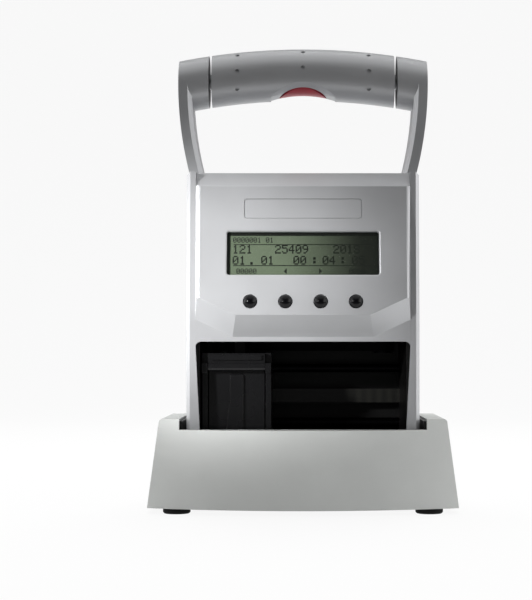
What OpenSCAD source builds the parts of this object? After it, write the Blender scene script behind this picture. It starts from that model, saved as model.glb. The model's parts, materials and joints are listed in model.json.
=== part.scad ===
// Handheld inkjet printer standing in its charging dock.
// Millimetres, +Z up, +Y to the rear. The origin is on the table, under the middle of the dock.

/* [Dock] */
// Width of the dock across its foot
dock_w = 169; // [160:1:190]
// Depth of the dock at its foot
dock_d = 128; // [124:1:150]
// Height of the dock shell from its underside to the wing tops
dock_h = 48; // [44:0.5:60]
// Wall of the dock shell
dock_wall = 3; // [2:0.1:4]
// How far each side leans in from foot to top
side_lean = 5.8; // [3:0.1:8]
// How far the front leans back from foot to top
front_lean = 8; // [4:0.5:10]
// How far the rear leans in from foot to top
rear_lean = 4; // [0:0.5:8]
// Plan radius of the bowed front
bow_r = 216; // [180:1:400]
// Rounding of the outer top edges of the wings
wing_round = 2; // [1:0.25:4]
// Height of the wings above the deck
wing_rise = 5.7; // [3:0.1:9]
// Length of the wings from the foremost edge of the dock
wing_len = 104; // [96:1:108]
// Gap between the printer's side and a wing
wing_gap = 3.7; // [3:0.05:5]
// Height of the well floor above the dock's underside
seat_h = 24; // [22:0.5:30]
// Set-back of the printer's front frame from the dock's foremost edge
front_set = 22; // [20:0.5:26]
// Diameter of a rubber foot
foot_d = 15; // [10:0.5:18]
// Height of a rubber foot
foot_h = 3; // [2:0.25:5]
// Thickness of the dock's base plate
base_t = 2.5; // [2:0.1:4]

/* [Printer body] */
// Width over both side frames
body_w = 127.1; // [122:0.1:131]
// Depth from the front frame to the rear face
body_d = 88; // [84:0.5:94]
// Height of the body from the pads to the top deck
body_h = 159.3; // [154:0.1:170]
// Thickness of a side frame
side_t = 4.9; // [4:0.1:6]
// Bevel around the outer edges of a side frame
side_bevel = 1.9; // [1:0.1:2.4]
// Wall of the front and rear covers
shell_t = 2.5; // [2:0.1:3]
// Thickness of the print sole
sole_t = 4; // [3:0.25:6]
// Thickness of the pads under the sole
pad_t = 1; // [0.6:0.1:2]
// Height of the window's upper edge above the pads
window_h = 66.2; // [62:0.1:70]
// Width of the window lip on each side frame at its foot
lip_w = 3; // [1:0.1:4]
// Rise of the bevel at the top of the front
top_bevel = 8; // [5:0.25:12]
// Run of the bevel at the top of the front
top_run = 10.8; // [6:0.2:14]
// Bevel along the rear top edge
rear_bevel = 7; // [3:0.5:12]

/* [Display panel] */
// Lean of the display panel from upright, in degrees
panel_tilt = 12; // [8:0.5:16]
// Height of the panel's lower edge above the pads
chin_h = 80.5; // [78:0.25:84]
// Reach of the panel's lower edge in front of the frame
chin_reach = 12; // [9:0.25:14]
// Width of the panel's lower edge
chin_w = 72.4; // [60:0.5:84]
// Rise of the panel's slanted lower corners
chin_rise = 9.6; // [6:0.2:14]
// Height of the bevel band under the panel
chin_drop = 11.9; // [9:0.1:12.5]
// Width of the bevel along the panel's sides
panel_bevel = 1.6; // [1:0.1:2.2]
// Width of the display cut-out
lcd_w = 82.4; // [70:0.2:90]
// Height of the display cut-out
lcd_h = 24; // [20:0.2:28]
// Middle of the display above the panel's lower edge
lcd_v = 34.4; // [33:0.2:38]
// Depth of the clear lens below the panel face
lens_drop = 1.4; // [0.6:0.1:1.8]
// Diameter of a key
key_d = 7.3; // [5:0.1:8]
// Distance between keys
key_pitch = 19; // [14:0.25:22]
// Middle of the keys above the panel's lower edge
key_v = 7.4; // [7:0.1:10]
// Height of a key's dome above the panel face
key_proud = 2.6; // [1.5:0.1:4]
// Travel of a key
key_travel = 0.8; // [0.4:0.1:1]
// Width of the plain name plate
plate_w = 64; // [50:0.5:80]
// Height of the plain name plate
plate_h = 11.2; // [8:0.2:13]
// Middle of the name plate above the panel's lower edge
plate_v = 59.4; // [57:0.2:61]
// Depth of the recess that holds the name plate
plate_recess = 0.8; // [0.4:0.1:1.2]

/* [Handle] */
// Width over both ends of the handle
handle_w = 140; // [134:0.5:150]
// Height of the printer from its pads to the top of the grip
printer_h = 232.5; // [222:0.5:245]
// Position of the grip's axis behind the middle of the body
handle_back = -2; // [-8:0.5:8]
// Diameter of the grip
grip_d = 29; // [27:0.5:34]
// Length of the grip between its two grooves
grip_w = 103; // [96:0.5:108]
// Width of the groove beside each grip end
groove_w = 1.6; // [0.8:0.1:3]
// Radius of the grip's arched axis
arch_r = 350; // [300:5:600]
// Wall of the grip shells
grip_t = 3; // [2:0.1:3.5]
// Thickness of an arm
arm_t = 7.5; // [6:0.1:8]
// Bevel on the inner edges of an arm
arm_bevel = 2.4; // [1:0.1:2.8]
// Height above the top deck's underside where an arm leaves the side
arm_join = 6; // [3:0.25:8]
// Diameter of the bar inside the handle
core_d = 8; // [6:0.25:9]
// Diameter of a dimple in the grip
dimple_d = 2.3; // [1:0.1:2.8]
// Depth of a dimple in the grip
dimple_depth = 1.2; // [0.4:0.1:1.5]
// Distance between the columns of dimples
dimple_pitch = 37; // [28:0.5:42]

/* [Trigger] */
// Width of the trigger pad between its pointed ends
trigger_w = 26.8; // [22:0.2:28]
// Depth of the trigger pad from front to rear, at its middle
trigger_d = 17; // [13:0.25:18]
// Travel of the trigger
trigger_travel = 2; // [1:0.1:2.2]
// Height of the trigger pad's ends above the grip's underside
trigger_inset = 1.1; // [0.6:0.1:1.6]
// Depth of the finger hollow in the trigger pad
hollow_depth = 1.7; // [0.8:0.1:2.2]
// Width of the scoop over the trigger, at the grip's underside
scoop_w = 35.5; // [32:0.5:42]
// Height of the scoop's top above the grip's underside
scoop_h = 8.5; // [7.5:0.1:9.5]
// Height of the scoop's bevel at its top
scoop_bevel = 2.4; // [1.5:0.1:3]

/* [Print carriage] */
// Width of the carriage
carriage_w = 38; // [34:0.5:42]
// Wall of the carriage's sides
carriage_t = 3; // [2:0.1:4]
// Diameter of the main guide rod
rod_d = 6; // [4:0.25:8]
// Diameter of the upper guide rod
upper_rod_d = 5; // [3:0.25:6]
// Diameter of a belt pulley at the belt
pulley_d = 10; // [8:0.25:11]
// Width of the drive belt
belt_w = 5; // [3:0.25:5.5]
// Thickness of the drive belt
belt_t = 1; // [0.8:0.1:1.2]
// Diameter of the drive motor
motor_d = 19; // [14:0.5:19]
// Height of the drive motor
motor_h = 22; // [18:0.5:23]
// Height of the nozzle plate above the print surface
nozzle_gap = 1.4; // [1:0.1:1.8]
// Height of the latch gate
latch_h = 9.8; // [7:0.2:11]
// Opening angle of the latch gate, in degrees
latch_open = 95; // [60:1:100]

/* [Battery] */
// Width of the battery pack
battery_w = 76; // [60:1:84]
// Height of the battery pack
battery_h = 50; // [40:0.5:51]
// Depth of the battery pack
battery_d = 34; // [24:0.5:36]

/* [Clearances] */
// Gap between the printer and the guides in the dock's well
well_gap = 0.8; // [0.4:0.1:1.5]
// Gap between fixed pieces that sit beside each other
fit_gap = 0.25; // [0.15:0.05:0.4]
// Gap around a key or the trigger
slide_gap = 0.25; // [0.15:0.05:0.4]
// Radial gap of a shaft in its bush
run_gap = 0.05; // [0.02:0.01:0.1]

/* [Hidden] */
$fn = 64;
cut = 1;            // overrun of a cutter past the face that it cuts
far = 400;          // longer than the whole object

// Heights above the table
dock_z0 = foot_h;
dock_z1 = foot_h + dock_h;
deck_z = dock_z1 - wing_rise;
seat_z = foot_h + seat_h;
sole_z0 = seat_z + pad_t;
sole_z1 = sole_z0 + sole_t;
window_z = seat_z + window_h;
liner_z = window_z + shell_t + 0.8;
chin_z = seat_z + chin_h;
chin_base_z = chin_z - chin_drop;
corner_z = chin_z + chin_rise;
corner_base_z = corner_z - chin_drop;
top_z = seat_z + body_h;
panel_top_z = top_z - top_bevel;
grip_r = grip_d / 2;
axis_z = seat_z + printer_h - grip_r;

// Places from front to rear
front_y = -dock_d / 2 + front_set;
rear_y = front_y + body_d;
mid_y = (front_y + rear_y) / 2;
handle_y = mid_y + handle_back;
chin_y = front_y - chin_reach;
function panel_y(z) = chin_y + (z - chin_z) * tan(panel_tilt);
panel_top_y = panel_y(panel_top_z);
top_edge_y = panel_top_y + top_run;
split_y = mid_y - 2;

// Half widths
side_x = body_w / 2;
cover_x = side_x - side_t - 0.05;
liner_x = side_x - side_t - fit_gap;
wing_x = side_x + wing_gap;
handle_x = handle_w / 2;
grip_x = grip_w / 2;
panel_w = 2 * (cover_x - panel_bevel);

// Print chamber, carriage and belt
liner_t = 2;
liner_y0 = front_y + shell_t;
liner_y1 = rear_y - 8;
park_gap = 0.8;
carriage_reach = liner_x - liner_t - park_gap - carriage_w / 2;
parked_x = -carriage_reach;
carriage_x0 = parked_x - carriage_w / 2;
carriage_x1 = parked_x + carriage_w / 2;
carriage_set = 12;      // from the front of the case to the carriage
drive_depth = 16;       // space behind the carriage for the rods and the belt
carriage_lift = 2;      // carriage above the sole
carriage_head = 9.5;    // space above the carriage
nozzle_set = 13;        // nozzle behind the carriage's front
rod_set = 9;            // rods in front of the liner's rear wall
rod_rise = 12;          // main rod above the carriage's foot
rod_drop = 9;           // upper rod below the carriage's head
carriage_y0 = front_y + carriage_set;
carriage_y1 = liner_y1 - drive_depth;
carriage_z0 = sole_z1 + carriage_lift;
carriage_z1 = liner_z - carriage_head;
nozzle_y = carriage_y0 + nozzle_set;
rod_y0 = liner_y1 - rod_set;
rod_z = carriage_z0 + rod_rise;
upper_rod_z = carriage_z1 - rod_drop;
pulley_r = pulley_d / 2;
pulley_rim = pulley_r + 1;
clamp_half = 3;
pulley_x = min(carriage_reach + clamp_half + pulley_rim + 1.4, liner_x - motor_d / 2 - 1);
pulley_span = 2 * pulley_x;
belt_z0 = carriage_z1 + 1;
flange_h = 0.8;
pulley_z0 = belt_z0 - flange_h - 0.2;
pulley_h = belt_w + 0.4 + 2 * flange_h;
belt_gap = 0.3;
belt_r = pulley_r + belt_gap;
pulley_y = liner_y1 - liner_t - belt_r - belt_t - 0.7;
shaft_r = 1;
idler_r = 1.5;

// Prism along Y of an outline drawn in X and Z
module xz_prism(outline, y0, y1) {
    translate([0, y1, 0]) rotate([90, 0, 0]) linear_extrude(y1 - y0) polygon(outline);
}

// Prism along X of an outline drawn in Y and Z
module yz_prism(outline, x0, x1) {
    translate([x0, 0, 0]) rotate([90, 0, 90]) linear_extrude(x1 - x0) polygon(outline);
}

// Box between two corners
module box(a, b) {
    translate(a) cube(b - a);
}

// Rounded slab, centred on X and Y, standing on Z = 0
module slab(w, h, t, r) {
    linear_extrude(t) union() {
        square([w - 2 * r, h], center = true);
        square([w, h - 2 * r], center = true);
        for (i = [-1, 1], j = [-1, 1]) translate([i * (w / 2 - r), j * (h / 2 - r)]) circle(r);
    }
}

// Cylinder along X or Y between two ends
module rod_x(r, x0, x1) {
    translate([x0, 0, 0]) rotate([0, 90, 0]) cylinder(r = r, h = x1 - x0);
}
module rod_y(r, y0, y1) {
    translate([0, y0, 0]) rotate([-90, 0, 0]) cylinder(r = r, h = y1 - y0);
}

// Children stand on the display panel: X across, Y up the slope, Z out of its face
module on_panel(v = 0, n = 0) {
    translate([0, chin_y, chin_z]) rotate([90 - panel_tilt, 0, 0]) translate([0, v, n]) children();
}

// Solid through rings of points with as many points each; the first and last rings are flat
module loft(rings) {
    n = len(rings[0]);
    m = len(rings);
    points = [for (ring = rings, p = ring) p];
    sides = [for (k = [0 : m - 2], i = [0 : n - 1], half = [0, 1])
        let (a = k * n + i, b = k * n + (i + 1) % n)
        half == 0 ? [a, b, b + n] : [a, b + n, a + n]];
    first = [for (i = [n - 1 : -1 : 0]) i];
    last = [for (i = [0 : n - 1]) (m - 1) * n + i];
    polyhedron(points, concat([first], sides, [last]));
}

// Pan-head screw along Z: head below Z = 0, shank above
screw_r = 1.5;
head_r = 2.7;
head_h = 1.8;
slot_w = 0.8;
slot_half_l = head_r * 0.62;
slot_depth = 0.9;
module screw(length) {
    difference() {
        union() {
            translate([0, 0, -head_h]) cylinder(r = head_r, h = head_h);
            cylinder(r = screw_r, h = length);
        }
        for (turn = [0, 90]) rotate([0, 0, turn]) translate([-slot_half_l, -slot_w / 2, -head_h - cut])
            cube([2 * slot_half_l, slot_w, slot_depth + cut]);
    }
}
module screw_hole(length) {
    translate([0, 0, -head_h - far]) cylinder(r = head_r + fit_gap, h = head_h + far);
    cylinder(r = screw_r + fit_gap, h = length + cut);
}

// Dock

lining_t = 1.5;
lining_drop = 1;
guide_h = 8;
well_x = wing_x;
well_y0 = front_y - well_gap;
well_y1 = rear_y + well_gap + lining_t;
wing_end = -dock_d / 2 + wing_len;
floor_t = 2.5;
foot_inset = 16;
foot_x = dock_w / 2 - foot_inset;
foot_y = dock_d / 2 - foot_inset + 1;
foot_front_y = -dock_d / 2 + foot_inset + 4;
boss_r = 3.6;
boss_inset = 12;        // screw bosses in from the dock's sides
boss_front_set = 28;    // front bosses behind the printer's front
boss_rear_set = 8;      // rear bosses before the printer's rear
boss_x = dock_w / 2 - boss_inset;
boss_front_y = front_y + boss_front_set;
boss_rear_y = rear_y - boss_rear_set;
boss_places = [for (i = [-1, 1], y = [boss_front_y, boss_rear_y]) [i * boss_x, y]];
dock_screw_l = 9;
trough_z = seat_z - 7.5;
trough_x = carriage_reach + 14;
trough_y0 = nozzle_y - 13;
trough_y1 = nozzle_y + 13;
pin_y = rear_y - 12;
pin_pitch = 10;
pin_r = 0.9;
pin_x = [for (i = [-1.5 : 1.5]) i * pin_pitch];
jack_z = dock_z0 + 13;
jack_w = 12;
jack_h = 11;
jack_d = 15;
jack_r = 3;
jack_x = dock_w / 4;

// The dock's outer form, drawn in by an inset and cut off at a height
module dock_block(inset, z0, z1) {
    half0 = dock_w / 2 - inset;
    half1 = half0 - side_lean;
    r = wing_round;
    round = [for (a = [0 : 15 : 90]) [half1 - r + r * cos(a), dock_z1 - r + r * sin(a)]];
    right = concat([[half0, dock_z0]], round);
    left = [for (i = [len(right) - 1 : -1 : 0]) [-right[i].x, right[i].y]];
    rear0 = dock_d / 2 - inset;
    intersection() {
        translate([0, -dock_d / 2 + bow_r, dock_z0])
            cylinder(r1 = bow_r - inset, r2 = bow_r - inset - front_lean, h = dock_h, $fn = 180);
        xz_prism(concat(right, left), -far, far);
        yz_prism([[-far, dock_z0], [rear0, dock_z0], [rear0 - rear_lean, dock_z1], [-far, dock_z1]],
            -far, far);
        box([-far, -far, z0], [far, far, z1]);
    }
}

// Walls of the well that the printer stands in, with the trough under its print slot
module well_walls() {
    box([-well_x - floor_t, well_y0 - floor_t, seat_z - floor_t],
        [well_x + floor_t, well_y1 + floor_t, dock_z1]);
    box([-trough_x - floor_t, trough_y0 - floor_t, trough_z - floor_t],
        [trough_x + floor_t, trough_y1 + floor_t, seat_z]);
}

// Cutter that slopes the rear ends of the wings down to the deck
module wing_ends() {
    yz_prism([[wing_end, dock_z1 + cut], [wing_end + wing_rise, deck_z], [far, deck_z], [far, dock_z1 + cut]],
        -far, far);
}

module dock_shell() {
    color([0.80, 0.81, 0.81]) difference() {
        union() {
            difference() {
                dock_block(0, dock_z0, dock_z1);
                difference() {
                    dock_block(dock_wall, dock_z0, deck_z - dock_wall);
                    well_walls();
                }
            }
            intersection() {
                dock_block(0, dock_z0 + base_t, deck_z);
                for (p = boss_places) translate([p.x, p.y, 0]) cylinder(r = boss_r, h = deck_z);
            }
        }
        box([-well_x, well_y0, seat_z], [well_x, well_y1, dock_z1 + cut]);
        box([-trough_x, trough_y0, trough_z], [trough_x, trough_y1, seat_z + cut]);
        box([-wing_x, -far, deck_z], [wing_x, far, dock_z1 + cut]);
        wing_ends();
        for (p = boss_places) translate([p.x, p.y, dock_z0])
            cylinder(r = screw_r + run_gap, h = base_t + dock_screw_l + 3);
        for (x = pin_x) translate([x, pin_y, seat_z - floor_t - cut])
            cylinder(r = pin_r + fit_gap, h = floor_t + 2 * cut);
        translate([jack_x, 0, jack_z]) rod_y(jack_r + 1.2, dock_d / 2 - jack_d, far);
    }
}

// Black lining of the well: side plates, rear plate and low guides that centre the printer
module dock_well_lining() {
    guide_x = side_x + well_gap;
    color([0.05, 0.05, 0.05]) difference() {
        union() {
            for (i = [0, 1]) mirror([i, 0, 0]) {
                box([well_x - lining_t, well_y0, seat_z], [well_x, well_y1, dock_z1 - lining_drop]);
                box([guide_x, well_y0, seat_z], [well_x, well_y1, seat_z + guide_h]);
            }
            box([-well_x, well_y1 - lining_t, seat_z], [well_x, well_y1, deck_z - lining_drop]);
        }
        translate([0, 0, -lining_drop]) wing_ends();
    }
}

module dock_base_plate() {
    color([0.16, 0.16, 0.17]) difference() {
        dock_block(dock_wall + fit_gap, dock_z0, dock_z0 + base_t);
        for (p = boss_places) translate([p.x, p.y, dock_z0 + head_h]) screw_hole(base_t);
    }
}

module dock_feet() {
    lip = 0.8;
    r = foot_d / 2;
    color([0.05, 0.05, 0.05]) for (i = [-1, 1], y = [foot_front_y, foot_y]) translate([i * foot_x, y, 0])
        rotate_extrude() polygon([[0, 0], [r - lip, 0], [r, lip], [r, foot_h], [0, foot_h]]);
}

module dock_screws() {
    color([0.62, 0.62, 0.64]) for (p = boss_places) translate([p.x, p.y, dock_z0 + head_h])
        screw(dock_screw_l);
}

pin_block_h = 10;
pin_block_rim = 5;
module dock_contact_block() {
    z0 = seat_z - floor_t - pin_block_h;
    color([0.08, 0.08, 0.09]) difference() {
        box([pin_x[0] - pin_block_rim, pin_y - pin_block_rim, z0],
            [pin_x[3] + pin_block_rim, pin_y + pin_block_rim, seat_z - floor_t]);
        for (x = pin_x) translate([x, pin_y, z0 - cut]) cylinder(r = pin_r + 0.02, h = far);
    }
}

module dock_contact_pins() {
    color([0.83, 0.65, 0.30]) for (x = pin_x) translate([x, pin_y, seat_z - floor_t - pin_block_h]) {
        cylinder(r = pin_r, h = pin_block_h + floor_t + 0.2);
        translate([0, 0, -2.5]) cylinder(r = pin_r + 0.5, h = 2.5);
    }
}

cap_w = 18;
cap_lip = 2;
cap_depth = 2.5;
cap_z1 = sole_z0;
module nozzle_cap() {
    color([0.12, 0.12, 0.13]) translate([parked_x, nozzle_y, trough_z]) difference() {
        union() {
            slab(cap_w + 4, cap_w + 4, 3, 2);
            slab(cap_w, cap_w, cap_z1 - trough_z, 2);
        }
        translate([0, 0, cap_z1 - trough_z - cap_depth])
            slab(cap_w - 2 * cap_lip, cap_w - 2 * cap_lip, cap_depth + cut, 1);
    }
}

module dock_power_jack() {
    rear = dock_d / 2 - dock_wall - rear_lean * (jack_z + jack_h - dock_z0) / dock_h - 0.3;
    color([0.07, 0.07, 0.08]) translate([jack_x, 0, jack_z]) {
        difference() {
            union() {
                box([-jack_w / 2, rear - jack_d, -jack_z + dock_z0 + base_t],
                    [jack_w / 2, rear, jack_h / 2]);
                rod_y(jack_r + 1, rear - 1, rear + 2.2);
            }
            rod_y(jack_r, rear - 9, far);
        }
        rod_y(1, rear - 9 - cut, rear);
    }
}

// Side frames with the handle's arms

arm_z0 = top_z - arm_join;
end_z = axis_z - arch_r + sqrt(arch_r * arch_r - handle_x * handle_x);
arm_out = handle_x - side_x + side_bevel;
arm_r = (arm_out * arm_out + (end_z - arm_z0) * (end_z - arm_z0)) / (2 * arm_out);
arm_angle = asin((end_z - arm_z0) / arm_r);
arch_angle = asin(handle_x / arch_r) + 3;
end_sink = head_h + 0.3;
core_end = handle_x - end_sink - 1.7;
rear_boss_r = 4;
rear_boss_l = 4.75;
lip_t = 2;
corner_r = 3.2;
sole_screw_r = 1;
sole_screw_l = 6;
boss_screw_x = side_x - side_t - 5;
rear_screw_z = [sole_z1 + 10, top_z - 14];
side_screw_y = [front_y + 12, rear_y - 12];

// Front edge of a side frame, which leans beside the panel and runs straight on up to the arm
cheek_slope = (panel_top_y + panel_bevel - front_y) / (panel_top_z - corner_base_z);
cheek_y = front_y + (top_z - corner_base_z) * cheek_slope;

side_outline = [
    [front_y, sole_z1], [front_y, corner_base_z], [cheek_y, top_z],
    [rear_y - rear_bevel, top_z], [rear_y, top_z - rear_bevel], [rear_y, sole_z1],
];

// Convex outline, listed clockwise, with its edges moved in by d
function drawn_in(outline, d) = let (n = len(outline)) [for (i = [0 : n - 1]) let (
    u = outline[i] - outline[(i + n - 1) % n],
    v = outline[(i + 1) % n] - outline[i],
    p = [u.y, -u.x] / norm(u),
    q = [v.y, -v.x] / norm(v)) outline[i] + d * (p + q) / (1 + p * q)];

// Wall of a side frame, with its outer edges bevelled down to the sole
module side_wall(inner_x) {
    low = [for (p = side_outline) [p.x, p.y == sole_z1 ? sole_z1 - side_bevel : p.y]];
    loft([
        [for (p = side_outline) [inner_x, p.x, p.y]],
        [for (p = side_outline) [side_x - side_bevel, p.x, p.y]],
        [for (p = drawn_in(low, side_bevel)) [side_x, p.x, p.y]],
    ]);
}

// Arched round bar along the handle's axis
module arch(r) {
    translate([0, handle_y, axis_z - arch_r]) rotate([90, 0, 0]) rotate([0, 0, 90 - arch_angle])
        rotate_extrude(angle = 2 * arch_angle, $fn = 240) translate([arch_r, 0]) circle(r);
}

// Curved strap from the side of the body up to the handle's end, on the right
module arm() {
    r0 = arm_r - arm_t;
    y = grip_r;
    b = arm_bevel;
    intersection() {
        translate([handle_x - arm_r, handle_y, end_z]) rotate([90, 0, 0]) rotate([0, 0, -arm_angle])
            rotate_extrude(angle = arm_angle, $fn = 240)
                polygon([[r0 + b, -y], [arm_r, -y], [arm_r, y], [r0 + b, y], [r0, y - b], [r0, b - y]]);
        union() {
            box([0, -far, top_z], [far, far, far]);
            box([side_x - side_t, -far, 0], [far, far, far]);
        }
    }
}

module right_frame() {
    inner_x = side_x - side_t;
    boss_y = rear_y - shell_t - fit_gap;
    difference() {
        union() {
            side_wall(inner_x);
            arm();
            intersection() {
                arch(grip_r);
                box([grip_x + groove_w, -far, 0], [handle_x, far, far]);
            }
            xz_prism([[inner_x, window_z], [inner_x - lip_w, sole_z1], [inner_x + 1, sole_z1],
                [inner_x + 1, window_z]], front_y, front_y + lip_t);
            difference() {
                box([inner_x - 0.8 * corner_r, front_y, window_z - 0.8 * corner_r],
                    [inner_x + 1, front_y + lip_t, window_z]);
                translate([inner_x - corner_r, 0, window_z - corner_r]) rod_y(corner_r, -far, far);
            }
            for (z = rear_screw_z) {
                translate([boss_screw_x, 0, z]) rod_y(rear_boss_r, boss_y - rear_boss_l, boss_y);
                box([boss_screw_x, boss_y - rear_boss_l, z - 2.5], [inner_x + 1, boss_y, z + 2.5]);
            }
        }
        for (z = rear_screw_z) translate([boss_screw_x, 0, z]) rod_y(screw_r + run_gap, 0, far);
        for (y = side_screw_y) translate([side_x - side_t / 2, y, sole_z1 - cut])
            cylinder(r = sole_screw_r + run_gap, h = sole_screw_l + 1 + cut);
        intersection() {
            arch(core_d / 2 + run_gap);
            box([0, -far, 0], [core_end + 0.2, far, far]);
        }
        translate([handle_x, handle_y, end_z]) rod_x(head_r + fit_gap, -end_sink, far);
        translate([handle_x, handle_y, end_z]) rod_x(screw_r + fit_gap, -8, far);
    }
}

module left_side_frame() {
    color([0.74, 0.75, 0.76]) mirror([1, 0, 0]) right_frame();
}

module right_side_frame() {
    color([0.74, 0.75, 0.76]) right_frame();
}

// Front cover with the display panel

lens_r = 1.2;
key_bore = key_d / 2 + slide_gap;
board_t = 1.6;
board_n = -9.6;
board_w = panel_w - 9;
board_v0 = 4;
board_v1 = 64;
board_screw_v = lcd_h / 2 + 7;
board_screw_l = 6;
board_screw_places = [for (i = [-1, 1], j = [-1, 1]) [i * (board_w / 2 - 4), lcd_v + j * board_screw_v]];
key_x = [for (i = [-1.5 : 1.5]) i * key_pitch];
cover_side_t = 2;

// Rings of the console: panel face, foot of its bevel, and a flat ring behind, all drawn in by d
function console_rings(d, back_y) = let (
    face_x = panel_w / 2 - d,
    foot_x = panel_w / 2 + panel_bevel - d,
    slope_y = d / cos(panel_tilt),
    chin_face_x = chin_w / 2 - d * 0.3,
    chin_foot_x = chin_face_x + panel_bevel + 0.5,
    lift = d * 0.75,
    face = [
        [-face_x, panel_y(panel_top_z - d * 0.4) + slope_y, panel_top_z - d * 0.4],
        [-face_x, panel_y(corner_z + lift) + slope_y, corner_z + lift],
        [-chin_face_x, panel_y(chin_z + lift) + slope_y, chin_z + lift],
        [chin_face_x, panel_y(chin_z + lift) + slope_y, chin_z + lift],
        [face_x, panel_y(corner_z + lift) + slope_y, corner_z + lift],
        [face_x, panel_y(panel_top_z - d * 0.4) + slope_y, panel_top_z - d * 0.4],
    ],
    foot = [
        [-foot_x, panel_top_y + panel_bevel + d, panel_top_z - d * 0.4],
        [-foot_x, front_y + d, corner_base_z + d],
        [-chin_foot_x, front_y + d, chin_base_z + d],
        [chin_foot_x, front_y + d, chin_base_z + d],
        [foot_x, front_y + d, corner_base_z + d],
        [foot_x, panel_top_y + panel_bevel + d, panel_top_z - d * 0.4],
    ]) [face, foot, [for (p = foot) [p.x, back_y, p.z]]];

// Wedge that carries the panel's top edge back to the top deck
module top_wedge() {
    yz_prism([[panel_top_y, panel_top_z], [panel_top_y + panel_bevel + cut, panel_top_z - cut],
        [top_edge_y + cut, top_z], [top_edge_y, top_z]], -panel_w / 2, panel_w / 2);
}

module front_cover() {
    inner_z = liner_z + fit_gap;
    outline = [[front_y, window_z], [front_y, corner_base_z], [panel_top_y + panel_bevel, panel_top_z],
        [top_edge_y, top_z], [split_y, top_z], [split_y, window_z]];
    hollow = [[front_y + shell_t, 0], [front_y + shell_t, corner_base_z],
        [panel_top_y + panel_bevel + shell_t, panel_top_z - 1], [top_edge_y + 1, top_z - shell_t],
        [split_y + cut, top_z - shell_t], [split_y + cut, 0]];
    color([0.76, 0.77, 0.78]) difference() {
        union() {
            difference() {
                union() {
                    yz_prism(outline, -cover_x, cover_x);
                    loft(console_rings(0, front_y + 12));
                    top_wedge();
                }
                yz_prism(hollow, -cover_x + cover_side_t, cover_x - cover_side_t);
                loft(console_rings(shell_t, front_y + 13));
                box([-far, front_y + shell_t, 0], [far, far, inner_z]);
            }
            for (p = board_screw_places) on_panel(p.y, board_n)
                translate([p.x, 0, 0]) cylinder(r = 3, h = -board_n - shell_t / 2);
        }
        for (p = board_screw_places) on_panel(p.y, board_n - cut) translate([p.x, 0, 0])
            cylinder(r = screw_r + run_gap, h = board_screw_l + 0.5);
        on_panel(lcd_v, -far / 8) slab(lcd_w, lcd_h, far / 4, lens_r);
        on_panel(lcd_v, -far / 8) slab(lcd_w + 4, lcd_h + 4, far / 8 - shell_t + 0.6, lens_r);
        for (x = key_x) on_panel(key_v, -far / 8) translate([x, 0, 0]) cylinder(r = key_bore, h = far / 4);
        on_panel(plate_v, -plate_recess) slab(plate_w, plate_h, plate_recess + cut, 1.6);
    }
}

module name_plate() {
    color([0.70, 0.71, 0.72]) on_panel(plate_v, -plate_recess)
        slab(plate_w - 2 * fit_gap, plate_h - 2 * fit_gap, plate_recess - 0.3, 1.6 - fit_gap);
}

lens_t = shell_t - 0.6 - lens_drop;
flange_t = 1;
module display_window() {
    color([0.75, 0.85, 0.80, 0.35]) {
        on_panel(lcd_v, -shell_t + 0.6 - 0.01)
            slab(lcd_w - 2 * fit_gap, lcd_h - 2 * fit_gap, lens_t + 0.01, lens_r - fit_gap);
        on_panel(lcd_v, -shell_t + 0.6 - flange_t)
            slab(lcd_w + 4 - 2 * fit_gap, lcd_h + 4 - 2 * fit_gap, flange_t, lens_r - fit_gap);
    }
}

glass_t = 2.4;
glass_n = -shell_t + 0.6 - flange_t - 0.2 - glass_t;
module display_glass() {
    color([0.36, 0.45, 0.36]) on_panel(lcd_v, glass_n) slab(lcd_w + 1, lcd_h + 1, glass_t, 0.6);
}

frame_rim = 3;
module display_frame() {
    rim = 2 * frame_rim;
    color([0.55, 0.56, 0.57]) on_panel(lcd_v, board_n) difference() {
        slab(lcd_w + rim, lcd_h + rim, glass_n + glass_t - board_n, 1);
        translate([0, 0, glass_n - board_n]) slab(lcd_w + 1 + 2 * fit_gap, lcd_h + 1 + 2 * fit_gap, far, 0.8);
        translate([0, 0, 1.5]) slab(lcd_w - 4, lcd_h - 4, far, 0.8);
    }
}

// Chips on the board: middle across, middle above its lower edge, width and height
chips = [[-30, 34, 14, 14], [0, 36, 18, 12], [28, 30, 10, 16], [-8, 14, 12, 6], [34, 12, 8, 8]];
chip_t = 1.6;
module main_board() {
    half = board_w / 2;
    corner_v = board_v0 + chin_rise;
    outline = [[-half, corner_v], [-chin_w / 2, board_v0], [chin_w / 2, board_v0], [half, corner_v],
        [half, board_v1], [-half, board_v1]];
    color([0.05, 0.30, 0.16]) on_panel(0, board_n - board_t) difference() {
        union() {
            linear_extrude(board_t) polygon(outline);
            for (c = chips) translate([c[0] - c[2] / 2, board_v0 + c[1] - c[3] / 2, -chip_t])
                cube([c[2], c[3], chip_t + 0.1]);
        }
        for (p = board_screw_places) translate([p.x, p.y, -far / 2]) cylinder(r = screw_r + fit_gap, h = far);
    }
}

module board_screws() {
    color([0.62, 0.62, 0.64]) for (p = board_screw_places)
        on_panel(p.y, board_n - board_t) translate([p.x, 0, 0]) screw(board_screw_l);
}

key_flange_r = key_bore + 0.65;
key_flange_t = 0.8;
key_stem = shell_t + key_flange_t + 0.7;
switch_top = -key_stem - key_travel - 0.15;
key_switch_w = 6;
key_switch_r = 1.6;
module key_switches() {
    body_n = switch_top - 0.8;
    color([0.10, 0.10, 0.11]) for (x = key_x) on_panel(key_v, board_n) translate([x, 0, 0]) {
        translate([-key_switch_w / 2, -key_switch_w / 2, 0])
            cube([key_switch_w, key_switch_w, body_n - board_n]);
        cylinder(r = key_switch_r, h = switch_top - board_n);
    }
}

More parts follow.
